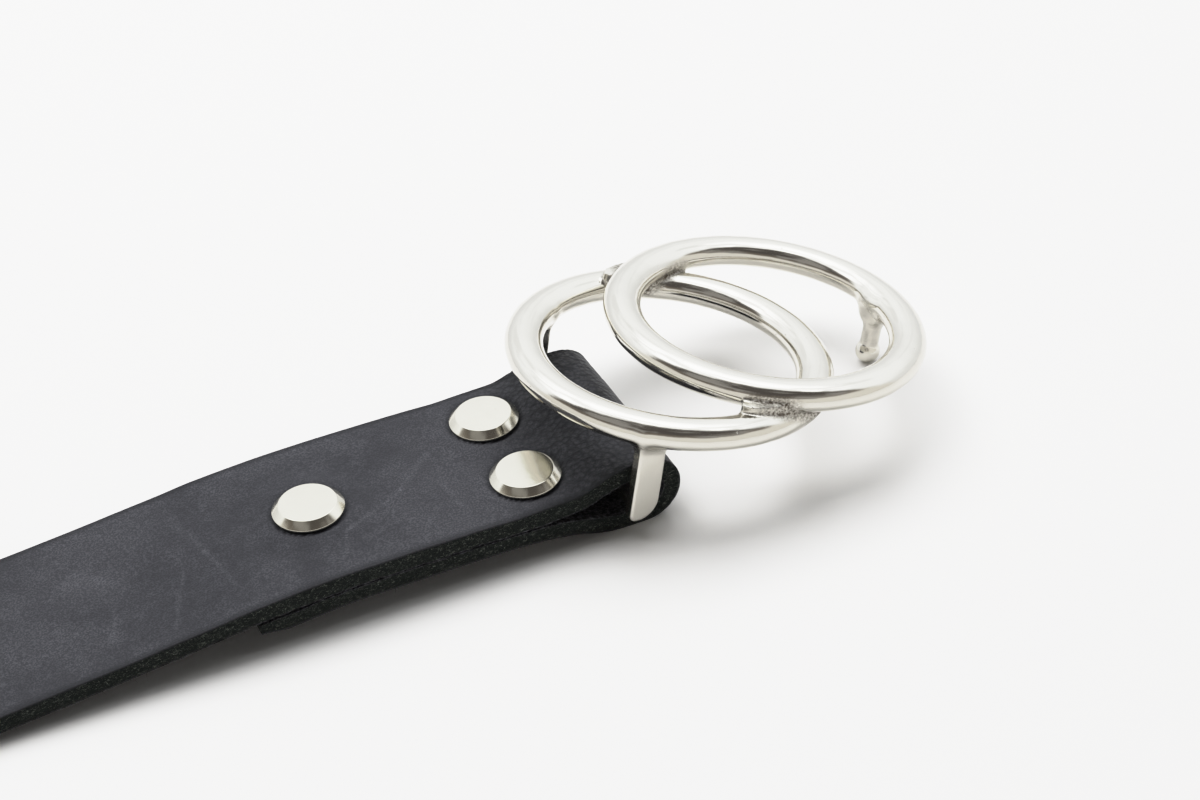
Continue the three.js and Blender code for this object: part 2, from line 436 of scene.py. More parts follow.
def eased(knots, steps):
    """A Catmull-Rom curve through the knots, with that many points for each span."""
    padded = np.vstack([2 * knots[0] - knots[1], knots, 2 * knots[-1] - knots[-2]])
    part = np.linspace(0, 1, steps, endpoint=False)[:, None]
    spans = []
    for a, b, c, d in zip(padded, padded[1:], padded[2:], padded[3:]):
        curved = (2 * a - 5 * b + 4 * c - d) * part**2 + (3 * b - a - 3 * c + d) * part**3
        spans.append(b + ((c - a) * part + curved) / 2)
    return np.vstack([*spans, knots[-1:]])


class Run:
    """The line of the leather's flesh side, in X and Z from the bar, tip first and round the fold."""

    def __init__(self, strap):
        reach = BAR.x - STRAP_LOW.x
        full = strap.thickness
        rows = [(-row["back"] * strap.turnback, row["upper"], row["lower"]) for row in LAY]
        layers = eased(np.array(rows), 12)
        upper = np.column_stack([layers[:, 0], full + layers[:, 1] * strap.fold_bore])
        lower = np.column_stack([layers[:, 0], full + layers[:, 2] * strap.fold_bore])
        part = np.linspace(0, 1, 40, endpoint=False)
        free = np.column_stack([
            -strap.touchdown + (strap.touchdown - strap.turnback) * part,
            upper[-1, 1] * part**TOUCHDOWN_EASE,
        ])
        turn = np.linspace(math.pi / 2, -math.pi / 2, 40)
        front = np.column_stack([
            strap.fold_ahead + strap.fold_bore / 2 * np.cos(turn),
            full + strap.fold_bore / 2 * (1 + np.sin(turn)),
        ])
        corners = np.vstack([[[-reach, 0]], free, upper[::-1], front, lower])
        gaps = np.hypot(*np.diff(corners, axis=0).T)
        corners = corners[np.concatenate([[True], gaps > SAME_PLACE])]
        travelled = np.concatenate([[0], np.cumsum(np.hypot(*np.diff(corners, axis=0).T))])
        self.length = travelled[-1]
        self.at = np.arange(0, self.length, RUN_STEP)
        line = np.column_stack([np.interp(self.at, travelled, corners[:, axis]) for axis in (0, 1)])
        self.line = self.softened(line)
        along = np.gradient(self.line, axis=0)
        along /= np.hypot(*along.T)[:, None]
        self.outward = np.column_stack([-along[:, 1], along[:, 0]])
        self.fold = self.at[np.argmax(self.line[:, 0])]

    def softened(self, line):
        """The line with its corners eased."""
        reach = int(3 * RUN_SOFTNESS / RUN_STEP)
        weights = np.exp(-0.5 * (np.arange(-reach, reach + 1) * RUN_STEP / RUN_SOFTNESS) ** 2)
        weights /= weights.sum()
        before = line[0] + (line[0] - line[1]) * np.arange(reach, 0, -1)[:, None]
        after = line[-1] + (line[-1] - line[-2]) * np.arange(1, reach + 1)[:, None]
        padded = np.vstack([before, line, after])
        return np.column_stack([np.convolve(padded[:, axis], weights, "valid") for axis in (0, 1)])

    def follow(self, at, depth, strap):
        """Places of points at these lengths along the run, depth above the flesh side as a share."""
        line = [np.interp(at, self.at, self.line[:, axis]) for axis in (0, 1)]
        outward = [np.interp(at, self.at, self.outward[:, axis]) for axis in (0, 1)]
        turned_back = at > self.fold
        pared = np.clip(-line[0] / strap.skive, 0, 1) * turned_back
        thickness = strap.thickness + (strap.pared - strap.thickness) * pared
        thickness *= 1 - END_PARED * smooth_share(at, self.length - END_REACH, self.length)
        lift = thickness * depth
        return line[0] + outward[0] * lift, line[1] + outward[1] * lift, np.column_stack(outward)


def strap_rows(run, strap):
    """Lengths along the run where the flat strap has a row of vertices."""
    turn = np.linspace(0.12, math.pi / 2, TIP_ROWS)
    tip = strap.tip * (1 - np.cos(turn))
    stretches = (
        (tip[-1], run.fold - FOLD_ZONE, ROW_SPACING),
        (run.fold - FOLD_ZONE, run.fold + FOLD_ZONE, FOLD_ROW_SPACING),
        (run.fold + FOLD_ZONE, run.length, ROW_SPACING),
    )
    rows = [tip[:-1]]
    for start, end, spacing in stretches:
        rows.append(np.linspace(start, end, max(2, round((end - start) / spacing)), endpoint=False))
    return np.concatenate([*rows, [run.length]])


def half_width_at(along, strap):
    """Half the strap's width, which narrows at the tip."""
    half = (STRAP_HIGH.y - STRAP_LOW.y) / 2
    into = np.clip(1 - along / strap.tip, 0, 1)
    return half * np.sqrt(1 - into**2)


def flat_strap(run, strap):
    """The strap laid flat: length along X, width along Y and thickness along Z."""
    rows = strap_rows(run, strap)
    shape = bmesh.new()
    bmesh.ops.create_grid(shape, x_segments=len(rows) - 1, y_segments=COLUMNS, size=1)
    for vertex in shape.verts:
        row = round((vertex.co.x + 1) / 2 * (len(rows) - 1))
        half = half_width_at(rows[row], strap)
        vertex.co = (rows[row], vertex.co.y * half, 0)
    made = bmesh.ops.extrude_face_region(shape, geom=shape.faces[:])
    raised = [item for item in made["geom"] if isinstance(item, bmesh.types.BMVert)]
    bmesh.ops.translate(shape, verts=raised, vec=(0, 0, strap.thickness))
    bmesh.ops.recalc_face_normals(shape, faces=shape.faces)

    walls = [edge for edge in shape.edges if abs(edge.verts[0].co.z - edge.verts[1].co.z) > strap.edge]
    bmesh.ops.subdivide_edges(shape, edges=walls, cuts=WALL_CUTS, use_grid_fill=True)
    rims = [edge for edge in shape.edges if edge.calc_face_angle(0) > 1 and is_level(edge)]
    grain_rims = [edge for edge in rims if edge.verts[0].co.z > strap.thickness / 2]
    flesh_rims = [edge for edge in rims if edge.verts[0].co.z < strap.thickness / 2]
    for edges, offset in ((grain_rims, strap.edge), (flesh_rims, strap.edge / 2)):
        bmesh.ops.bevel(
            shape,
            geom=edges,
            offset=offset,
            segments=3,
            profile=0.5,
            affect="EDGES",
            material=-1,
            clamp_overlap=True,
        )
    return mesh_of(shape, "flat_strap")


def is_level(edge):
    """Whether an edge of the flat strap runs round its outline."""
    return abs(edge.verts[0].co.z - edge.verts[1].co.z) < 0.01 * MM


# The pressed rim of a prong hole, in millimetres out from the hole and up from the leather's face.
HOLE_RIM = ((0, -0.45), (0.06, -0.22), (0.22, -0.04), (0.5, 0.06))
HOLE_SIDES = 40


def punch(shape, along, radius, top):
    """A punch that leaves a hole with a sunken rim in the flat strap."""
    rim = [(radius + out * MM, top + up * MM) for out, up in HOLE_RIM]
    outline = [(0, -top), (radius, -top), *rim, (0, rim[-1][1])]
    spun(shape, outline, HOLE_SIDES, Matrix.Translation((along, 0, 0)))


def spun(shape, outline, steps, place):
    """Spins an outline of radius and height pairs once round Z and puts the closed piece in place."""
    verts = [shape.verts.new((radius, 0, height)) for radius, height in outline]
    edges = [shape.edges.new(pair) for pair in zip(verts, verts[1:])]
    before = set(shape.verts) - set(verts)
    bmesh.ops.spin(
        shape,
        geom=verts + edges,
        cent=(0, 0, 0),
        axis=(0, 0, 1),
        angle=2 * math.pi,
        steps=steps,
        use_merge=True,
    )
    made = [vertex for vertex in shape.verts if vertex not in before]
    bmesh.ops.remove_doubles(shape, verts=made, dist=SAME_PLACE)
    made = [vertex for vertex in shape.verts if vertex not in before]
    faces = list({face for vertex in made for face in vertex.link_faces})
    bmesh.ops.recalc_face_normals(shape, faces=faces)
    bmesh.ops.transform(shape, matrix=place, verts=made)


def rivet_seats():
    """Each rivet's place and axis, from the middle of its CAD node's flat face."""
    seats = {}
    for name in RIVETS:
        faces = frame["nodes"][name].data.polygons
        axis = sum((face.normal * face.area for face in faces if face.normal.z > 0.3), Vector()).normalized()
        level = [face for face in faces if face.normal.dot(axis) > 0.999]
        top = max(face.center.dot(axis) for face in level)
        flat = [face for face in level if face.center.dot(axis) > top - 0.05 * MM]
        area = sum(face.area for face in flat)
        seats[name] = (sum((face.center * face.area for face in flat), Vector()) / area, axis)
    return seats


CAP_CLEARANCE = 0.27 * MM
GROOVE_DEPTH = 0.26 * MM
GROOVE_PLACE = 0.15 * MM
GROOVE_WIDTH = 0.32 * MM


def leather_round_rivets(points, outward, depth, rivet):
    """How far the leather stands up to the rivets' caps, and where a groove sinks into it round each and is
    darkened as painted shadow.
    """
    lift = np.zeros(len(points))
    pressed = np.zeros(len(points))
    for place, axis in rivet_seats().values():
        away = points - np.array(place)
        out = np.linalg.norm(away - np.outer(away @ np.array(axis), axis), axis=1)
        above = outward[:, 1] > 0
        cap = np.where(above, rivet.cap, rivet.back_cap) / 2
        swell = CAP_CLEARANCE * (1 - smooth_share(out, cap + 0.8 * MM, cap + 4.5 * MM))
        # The groove mask is also carried to the finish, which paints a dark shadow line at each cap's foot.
        groove = np.exp(-(((out - cap - GROOVE_PLACE) / GROOVE_WIDTH) ** 2))
        pressed += groove
        lift += (swell - GROOVE_DEPTH * groove) * depth
    return lift, pressed


def creases(points, bend):
    """How deep the small folds across the leather are where it bends round the bar."""
    ridges = np.clip(1 - 4 * np.abs(rumple(points * (1, 0.35, 1), 1.3 * MM)), 0, 1)
    patchy = smooth_share(rumple(points, 5 * MM), -0.3, 0.3)
    return CREASE_DEPTH * ridges**2 * patchy * bend


# Where the strap's face is scuffed, in millimetres along X and Y.
SCUFFS = (
    {"start": (3, -11.5), "end": (4.5, -7.5), "width": 0.5, "strength": 0.6},
    {"start": (4.5, -7.5), "end": (8.5, -5.5), "width": 0.6, "strength": 0.7},
    {"start": (8.5, -5.5), "end": (14, -2.5), "width": 0.6, "strength": 0.6},
    {"start": (14, -2.5), "end": (20.5, 3.5), "width": 0.9, "strength": 0.5},
    {"start": (19.5, -3), "end": (20.5, -9.5), "width": 0.6, "strength": 0.45},
    {"start": (-31, 3.5), "end": (-26.5, 0.5), "width": 3.4, "strength": 0.55},
    {"start": (-27, -4), "end": (-29.5, -11), "width": 0.6, "strength": 0.5},
    {"start": (-15.5, 7), "end": (-13.5, -1), "width": 1.3, "strength": 0.45},
    {"start": (-13.5, -1), "end": (-12, -10), "width": 0.6, "strength": 0.5},
    {"start": (-17.5, -3.5), "end": (-21.5, -13), "width": 0.5, "strength": 0.55},
)


def scuffed(made):
    """How much of the leather's face is rubbed pale by the scuffs and by fine stray scratches."""
    sway = made.node("ShaderNodeTexNoise", None, {"Vector": made.place, "Scale": 1 / (2.2 * MM)}, "Color")
    place = made.vector("ADD", made.place, made.vector("SCALE", sway, 1.2 * MM))
    place = made.vector("MULTIPLY", place, (1, 1, 0))
    drift = made.cloud(13 * MM, detail=1.5, warp=0.4)
    hairline = 1 - made.step(abs(drift - 0.5), 0.001, 0.009)
    total = hairline * made.step(made.cloud(6 * MM), 0.5, 0.62) * 0.3
    for scuff in SCUFFS:
        start = Vector((*scuff["start"], 0)) * MM
        reach = Vector((*scuff["end"], 0)) * MM - start
        away = made.vector("SUBTRACT", place, start)
        along = made.vector("DOT_PRODUCT", away, reach, "Value")
        share_of_reach = {0: along, 1: 1 / reach.length_squared}
        part = made.node("ShaderNodeMath", {"operation": "MULTIPLY", "use_clamp": True}, share_of_reach)
        gap = made.vector("DISTANCE", away, made.vector("SCALE", reach, part), "Value")
        total = total + (1 - made.step(gap, 0, scuff["width"] * MM)) * scuff["strength"]
    return total


def leather_finish(strap):
    """Black leather: fine grain, pale scuffs and scratches, raw fibrous edges and a rough back, with painted
    shade by the fold and a painted shadow round each rivet.
    """
    made = Finish("black_leather")
    depth = made.attribute("depth")
    bend = made.attribute("bend")
    inset = made.attribute("inset")
    grain_side = made.step(depth, 0.86, 0.93)
    flesh_side = 1 - made.step(depth, 0.02, 0.08)

    pores = made.cloud(0.25 * MM, detail=2, roughness=0.6)
    speckle = made.step(pores, 0.44, 0.62)
    patches = made.step(made.cloud(15 * MM, detail=3, roughness=0.55, warp=0.6), 0.38, 0.68)
    mottle = made.step(made.cloud(3.2 * MM, detail=4, roughness=0.65, warp=0.8), 0.35, 0.7)
    pebbles = made.cells(0.8 * MM)
    rubbed = scuffed(made)
    tone = 0.08 + patches * 0.1 + mottle * 0.09 + rubbed * 0.1
    tone = tone * (0.4 + speckle * 1.05) + rubbed * 0.045
    face = made.blend(tone, strap.grain, strap.scuff)
    # The face is darker towards its edges. Near the fold, most in its small creases, it is darkened as
    # painted shade, and round each rivet cap as a painted shadow.
    edge_dark = (1 - made.step(inset, 0.25 * MM, 1.3 * MM)) * 0.6
    fold_painted_shade = bend * (0.5 + made.step(pebbles, 0.3, 0.6) * 0.35)
    edge_and_painted_shade = edge_dark + fold_painted_shade + made.attribute("pressed") * 0.8
    face = made.blend(edge_and_painted_shade, face, [value / 2 for value in strap.grain])

    fibres = made.cloud(0.33 * MM, detail=5, roughness=0.7, stretch=(0.7, 1, 1.3), warp=1.5)
    raw = made.blend(made.step(fibres, 0.52, 0.7), strap.cut, strap.fleck)
    nap = made.cloud(0.5 * MM, detail=5, roughness=0.7)
    back = made.blend(made.step(nap, 0.4, 0.75), strap.flesh, strap.scuff)

    shade = made.blend(grain_side, made.blend(flesh_side, raw, back), face)
    roughness = 0.88 - grain_side * (0.36 + bend * 0.1 - speckle * 0.12 - mottle * 0.08)

    grain_relief = made.relief(pores * grain_side, 0.06 * MM)
    wrinkles = made.relief(pebbles * grain_side * (0.25 + bend * 0.6), 0.16 * MM, grain_relief)
    raw_relief = made.relief(fibres * (1 - grain_side), 0.4 * MM, wrinkles)
    return made.finish(Base_Color=shade, Roughness=roughness, Normal=raw_relief, Specular_IOR_Level=0.18)


class BELT_OT_strap(Operator):
    """Make the leather strap round the buckle's bar"""

    bl_idname = "belt.strap"
    bl_label = "Strap"

    def execute(self, context):
        strap = context.scene.belt_strap
        rivet = context.scene.belt_rivet
        run = Run(strap)
        holes = bmesh.new()
        for index in range(strap.holes):
            along = strap.hole_from_tip + index * strap.hole_spacing
            punch(holes, along, strap.hole / 2, strap.thickness)
        cutter = bpy.data.objects.new("holes", mesh_of(holes, "holes"))
        context.scene.collection.objects.link(cutter)
        whole = flat_strap(run, strap)
        mesh = worked(whole, "BOOLEAN", object=cutter, operation="DIFFERENCE", solver="EXACT")
        bpy.data.objects.remove(cutter)

        flat = points_of(mesh)
        bend = 1 - smooth_share(np.abs(run.fold - flat[:, 0]), BEND_NEAR, BEND_FAR)
        inset = half_width_at(flat[:, 0], strap) - np.abs(flat[:, 1])
        depth = np.clip(flat[:, 2] / strap.thickness, 0, 1)
        normals = np.empty(len(flat) * 3)
        mesh.vertex_normals.foreach_get("vector", normals)
        sideways = normals.reshape(-1, 3)[:, :2]
        wander = rumple(flat, 1.3 * MM) + 0.7 * rumple(flat + 7, 0.55 * MM)
        wander += 2 * rumple(flat, 4 * MM) * smooth_share(flat[:, 0], run.length - 3 * MM, run.length)
        flat[:, :2] += sideways * (wander * strap.raggedness * (1 - smooth_share(depth, 0.8, 1)))[:, None]

        ahead, up, outward = run.follow(flat[:, 0], depth, strap)
        points = np.column_stack([BAR.x + ahead, BAR.y + flat[:, 1], up])
        lift, pressed = leather_round_rivets(points, outward, depth, rivet)
        lift += (FACE_SWELL * rumple(points, 8 * MM) - creases(points, bend)) * depth**3
        points[:, 0] += outward[:, 0] * lift
        points[:, 2] += outward[:, 1] * lift
        points[:, 2] = np.maximum(points[:, 2], 0)
        set_points(mesh, points)
        carry(mesh, depth=depth, bend=bend, inset=inset, pressed=pressed)
        new_piece("strap_leather", mesh, leather_finish(strap), "strap", "leather", "strap")
        return {"FINISHED"}


# Fibres

FIBRE_SEED = 11
FIBRE_SPANS = 3
FIBRE_ROOT = 0.05 * MM


class BELT_OT_fibres(Operator):
    """Make the loose fibres along the strap's raw edges"""

    bl_idname = "belt.fibres"
    bl_label = "Loose fibres"

    def execute(self, context):
        strap = context.scene.belt_strap
        fibre = context.scene.belt_fibre
        run = Run(strap)
        draw = np.random.default_rng(FIBRE_SEED)
        count = fibre.count
        along = draw.uniform(strap.tip, run.length, count)
        depth = np.clip(draw.beta(0.8, 1.6, count), 0.02, 0.82)
        side = draw.choice((-1.0, 1.0), count)
        ahead, up, _ = run.follow(along, depth, strap)
        across = BAR.y + side * ((STRAP_HIGH.y - STRAP_LOW.y) / 2 - FIBRE_ROOT)
        curve = bpy.data.curves.new("fibres", "CURVE")
        curve.dimensions = "3D"
        curve.bevel_depth = fibre.thickness / 2
        curve.bevel_resolution = 0
        curve.use_fill_caps = True
        for index in range(count):
            root = Vector((BAR.x + ahead[index], across[index], up[index]))
            way = Vector((draw.normal(0, 0.9), side[index] * draw.uniform(0.25, 1), draw.normal(-0.1, 0.6)))
            way.normalize()
            bend = Vector(draw.normal(0, 0.5, 3))
            reach = fibre.longest * draw.uniform(0.25, 1) ** 1.8
            spline = curve.splines.new("POLY")
            spline.points.add(FIBRE_SPANS)
            for step, point in enumerate(spline.points):
                part = step / FIBRE_SPANS
                place = root + (way + bend * part) * reach * part
                place.z = max(place.z, fibre.thickness)
                point.co = (*place, 1)
                point.radius = 1 - 0.7 * part
        made = Finish("leather_fibre")
        shade = made.blend(made.step(made.cloud(0.6 * MM, detail=1), 0.4, 0.7), strap.cut, strap.fleck)
        material = made.finish(Base_Color=shade, Roughness=0.9, Specular_IOR_Level=0.2)
        new_piece("strap_fibres", worked(curve), material, "strap", "leather")
        return {"FINISHED"}


# Buckle

VOXEL = 0.3 * MM
SNAPS = 5
PROBE = 0.02 * MM
RING_FILLET = 0.4 * MM
WEB_FILLET = 0.6 * MM
PRONG_FILLET = 1.7 * MM
POST_FILLET = 1.8 * MM
BAR_FILLET = 0.3 * MM
BOSS_FILLET = 1.8 * MM
BALL_FILLET = 0.25 * MM
BOSS_EDGE = 1.3 * MM
CRUST = 0.16 * MM
TURNING_MARK = 0.16 * MM
POST_EDGE = 0.32 * MM
POST_TOE = 3.2 * MM
POST_HEEL = 1 * MM
MARK_LENGTH = 11 * MM
MARK_WIDTH = 0.22 * MM
# How many of Casting.parts come before the prong.
PRONG = 4
# The ripple's waves: turns per millimetre along X, Y and Z, and where each wave starts.
RIPPLES = (
    (0.9, 0.3, 0.7, 0.0),
    (-0.5, 1.0, 0.4, 1.3),
    (0.2, -0.8, 1.1, 2.1),
    (1.5, 1.1, -0.6, 4.0),
    (-1.4, 0.9, 1.2, 5.2),
)
RIPPLE_HEIGHT = 0.004 * MM
RING_SIDES = 20
RING_STEPS = 96


def melted(first, second, reach):
    """The union of two distances, with a fillet of about that reach."""
    part = np.clip(0.5 + 0.5 * (second - first) / reach, 0, 1)
    return second + (first - second) * part - reach * part * (1 - part)


def oval_ring(at, ahead, height, radius, half_width, half_height):
    """Distance to a ring of oval section, true near its surface."""
    out = np.hypot(at[:, 0] - ahead, at[:, 1]) - radius
    up = at[:, 2] - height
    reach = np.hypot(out / half_width, up / half_height)
    slope = np.hypot(out / half_width**2, up / half_height**2)
    return (reach - 1) * reach / np.maximum(slope, LEAST_SLOPE)


def column(at, ahead, across, low, high, half_length, half_width):
    """Distance to an upright column of oval section."""
    along = (at[:, 0] - ahead) / half_length
    aside = (at[:, 1] - across) / half_width
    reach = np.hypot(along, aside)
    slope = np.hypot(along / half_length, aside / half_width)
    side = (reach - 1) * reach / np.maximum(slope, LEAST_SLOPE)
    end = np.abs(at[:, 2] - (low + high) / 2) - (high - low) / 2
    return np.minimum(np.maximum(side, end), 0) + np.hypot(np.maximum(side, 0), np.maximum(end, 0))


class Casting:
    """The buckle's form, as distances in its own frame."""

    def __init__(self, buckle):
        self.size = buckle
        self.radius = buckle.post_place + buckle.side_margin
        self.rear = math.sqrt(self.radius**2 - buckle.post_place**2)
        self.front = self.rear + buckle.ring_offset
        self.rear_height = buckle.ring_height
        self.front_height = buckle.ring_height + buckle.ring_raise
        self.web_ahead = self.rear + buckle.ring_offset / 2 - buckle.web_setback
        self.web_across = math.sqrt(self.radius**2 - (buckle.ring_offset / 2) ** 2)
        self.prong_ahead = self.front + self.radius - buckle.prong_inset
        drop = self.prong_ahead * math.sin(buckle.tilt) + buckle.ball / 2 - BAR.z
        self.ball_height = drop / math.cos(buckle.tilt)

    def ring(self, at, ahead, height):
        """Distance to one of the two rings."""
        size = self.size
        return oval_ring(at, ahead, height, self.radius, size.section_width / 2, size.section_height / 2)

    def posts(self, at):
        """Distance to the two flat posts, square behind and round in front at their lower ends."""
        size = self.size
        half = size.post_width / 2
        middle = (size.ring_height - half) / 2
        ahead = at[:, 0]
        up = at[:, 2] - middle
        low = up < 0
        toe = low & (ahead > half - POST_TOE)
        corner = np.where(toe, POST_TOE, np.where(low, POST_HEEL, 0))
        over = np.where(toe, ahead, np.where(low, -ahead, np.abs(ahead))) - half + corner
        past = np.abs(up) - (middle + half) + corner
        outline = np.minimum(np.maximum(over, past), 0) - corner
        outline += np.hypot(np.maximum(over, 0), np.maximum(past, 0))
        face = np.abs(np.abs(at[:, 1]) - size.post_place) - size.post_thickness / 2
        outline, face = outline + POST_EDGE, face + POST_EDGE
        inside = np.minimum(np.maximum(outline, face), 0)
        return inside + np.hypot(np.maximum(outline, 0), np.maximum(face, 0)) - POST_EDGE

    def bar(self, at):
        """Distance to the bar between the posts."""
        side = np.hypot(at[:, 0], at[:, 2]) - self.size.bar / 2
        return np.maximum(side, np.abs(at[:, 1]) - self.size.post_place)

    def webs(self, at):
        """Distance to the solder between the rings."""
        mirrored = np.column_stack([at[:, 0], np.abs(at[:, 1]), at[:, 2]])
        size = self.size
        return column(
            mirrored,
            self.web_ahead,
            self.web_across,
            self.rear_height,
            self.front_height,
            size.web_length / 2,
            size.web_width / 2,
        )

    def prong(self, at):
        """Distance to the prong: its cast boss, stalk and ball."""
        size = self.size
        top = self.front_height
        core = size.boss / 2 - BOSS_EDGE
        boss_low = top - size.boss_height + BOSS_EDGE
        boss = column(at, self.prong_ahead, 0, boss_low, top - BOSS_EDGE, core, core) - BOSS_EDGE
        stalk = column(at, self.prong_ahead, 0, self.ball_height, top, size.stalk / 2, size.stalk / 2)
        return melted(melted(boss, stalk, BOSS_FILLET), self.ball(at), BALL_FILLET)

    def ball(self, at):
        """Distance to the prong's ball."""
        return np.linalg.norm(at - (self.prong_ahead, 0, self.ball_height), axis=1) - self.size.ball / 2

    def parts(self, at):
        """Distances to the polished rings, and then to what is left as it was cast."""
        return [
            self.ring(at, self.rear, self.rear_height),
            self.ring(at, self.front, self.front_height),
            self.posts(at),
            self.webs(at),
            self.prong(at),
            self.bar(at),
        ]

    def distance(self, at):
        """Distance to the whole casting, with its solder fillets and a hand-polished ripple."""
        rear, front, posts, webs, prong, bar = self.parts(at)
        whole = melted(rear, front, RING_FILLET)
        whole = melted(whole, webs, WEB_FILLET)
        whole = melted(whole, posts, POST_FILLET)
        whole = melted(whole, prong, PRONG_FILLET)
        whole = melted(whole, bar, BAR_FILLET)
        return whole + self.ripple(at)

    def polish_way(self, at, parts):
        """Where each point lies along and round its ring, counted in polishing marks."""
        rear = parts[:, 0] < parts[:, 1]
        ahead = at[:, 0] - np.where(rear, self.rear, self.front)
        up = at[:, 2] - np.where(rear, self.rear_height, self.front_height)
        out = np.hypot(ahead, at[:, 1])
        section = np.arctan2(out - self.radius, up) * self.size.section_width / 2
        along = self.radius / MARK_LENGTH / out
        marks = np.column_stack([ahead * along, at[:, 1] * along, section / MARK_WIDTH + rear * 100])
        turned = np.column_stack([at[:, :2] / MARK_LENGTH, at[:, 2] / TURNING_MARK])
        return np.where((parts.argmin(axis=1) == PRONG)[:, None], turned, marks)

    def rough_solder(self, at, parts):
        """Where the solder is left rough: under the front ring and in the gap between the rings."""
        rear, front, _, webs, _, _ = parts.T
        under_ring = smooth_share(np.minimum(rear, front) - webs, -0.4 * MM, 0.2 * MM)
        under_ring *= 1 - smooth_share(front, 0.3 * MM, 1.1 * MM)
        gap = 1 - smooth_share(webs, 0.3 * MM, 1.5 * MM)
        gap *= 1 - smooth_share(np.maximum(rear, front), 1 * MM, 2.8 * MM)
        end = self.web_ahead - self.size.web_length / 2
        return np.maximum(under_ring, gap) * smooth_share(at[:, 0] - end, 0.8 * MM, 2.2 * MM)

    def crust(self, at, solder):
        """How far the rough solder stands up."""
        rough = np.zeros(len(at))
        where = np.flatnonzero(solder > 0.01)
        lumps = rumple(at[where], 0.8 * MM) + 0.5 * rumple(at[where], 0.4 * MM)
        rough[where] = CRUST * lumps * solder[where]
        return rough

    def ripple(self, at):
        """The slight unevenness of a casting that was polished by hand."""
        return RIPPLE_HEIGHT * sum(np.sin(at @ np.array(wave[:3]) / MM + wave[3]) for wave in RIPPLES)

    def slope(self, at):
        """The distance's gradient, which points outwards."""
        sides = []
        for axis in range(3):
            shift = np.zeros(3)
            shift[axis] = PROBE
            sides.append(self.distance(at + shift) - self.distance(at - shift))
        return np.column_stack(sides) / (2 * PROBE)


def casting_core(casting):
    """The buckle roughed out from plain shapes, which the remesh melts into one skin."""
    size = casting.size
    shape = bmesh.new()
    section = []
    for step in range(RING_SIDES + 1):
        turn = 2 * math.pi * step / RING_SIDES
        out = casting.radius + size.section_width / 2 * math.cos(turn)
        section.append((out, size.section_height / 2 * math.sin(turn)))
    for ahead, height in ((casting.rear, casting.rear_height), (casting.front, casting.front_height)):
        spun(shape, section, RING_STEPS, Matrix.Translation((ahead, 0, height)))
    half = size.post_width / 2
    between = size.ring_height + size.ring_raise / 2
    for side in (-1, 1):
        place = Matrix.Translation((0, side * size.post_place, (size.ring_height - half) / 2))
        stretch = Matrix.Diagonal((size.post_width, size.post_thickness, size.ring_height + half, 1))
        bmesh.ops.create_cube(shape, size=1, matrix=place @ stretch)
        place = Matrix.Translation((casting.web_ahead, side * casting.web_across, between))
        stretch = Matrix.Diagonal((size.web_length / 2, size.web_width / 2, size.ring_raise, 1))
        rod(shape, place @ stretch)
    quarter = Matrix.Rotation(math.pi / 2, 4, "X")
    rod(shape, quarter @ Matrix.Diagonal((size.bar / 2, size.bar / 2, 2 * size.post_place, 1)))
    root = casting.front_height
    for diameter, low in ((size.boss, root - size.boss_height), (size.stalk, casting.ball_height)):
        place = Matrix.Translation((casting.prong_ahead, 0, (root + low) / 2))
        rod(shape, place @ Matrix.Diagonal((diameter / 2, diameter / 2, root - low, 1)))
    place = Matrix.Translation((casting.prong_ahead, 0, casting.ball_height))
    bmesh.ops.create_uvsphere(shape, u_segments=32, v_segments=20, radius=size.ball / 2, matrix=place)
    return mesh_of(shape, "casting_core")


def rod(shape, place):
    """A rod one unit long and of one unit's radius, put in place."""
    bmesh.ops.create_cone(shape, cap_ends=True, segments=32, radius1=1, radius2=1, depth=1, matrix=place)


def metal_finish(buckle):
    """Polished white metal, dull and pitted where the casting was left alone."""
    made = Finish("polished_casting")
    cast = made.attribute("cast")
    joint = made.attribute("joint")
    solder = made.attribute("solder")
    along_ring = {"Vector": made.attribute("polish_way", "Vector"), "Scale": 1.0, "Detail": 3.0}
    marks = made.node("ShaderNodeTexNoise", None, along_ring)
    haze = made.cloud(5 * MM, detail=3, roughness=0.6, warp=0.5)
    grit = made.cloud(0.35 * MM, detail=4, roughness=0.65)
    lumps = made.cloud(1.6 * MM, detail=3, roughness=0.6)
    pit = 1 - made.step(made.cells(2.6 * MM), 0.03, 0.075)
    crust = solder * made.step(grit, 0.3, 0.7)
    stalk = made.attribute("stalk")
    corner = joint * made.step(grit, 0.25, 0.75) * 0.6 + crust * 0.9 + stalk * marks * 0.25
    shade = made.blend(corner, buckle.metal, buckle.grime)
    dull = cast * 0.55 + joint * 0.4 + solder * 0.6
    roughness = buckle.polish + haze * 0.05 + marks * 0.06 + dull * (buckle.cast - buckle.polish) + pit * 0.2
    polished = made.relief(marks * (0.1 + stalk), 0.035 * MM)
    orange_peel = made.relief(lumps, 0.01 * MM, polished)
    rough_cast = made.relief(grit * (solder + cast * 0.12 + joint * 0.2), 0.12 * MM, orange_peel)
    pitted = made.relief(1 - pit, 0.02 * MM, rough_cast)
    return made.finish(Base_Color=shade, Metallic=1.0, Roughness=roughness, Normal=pitted)


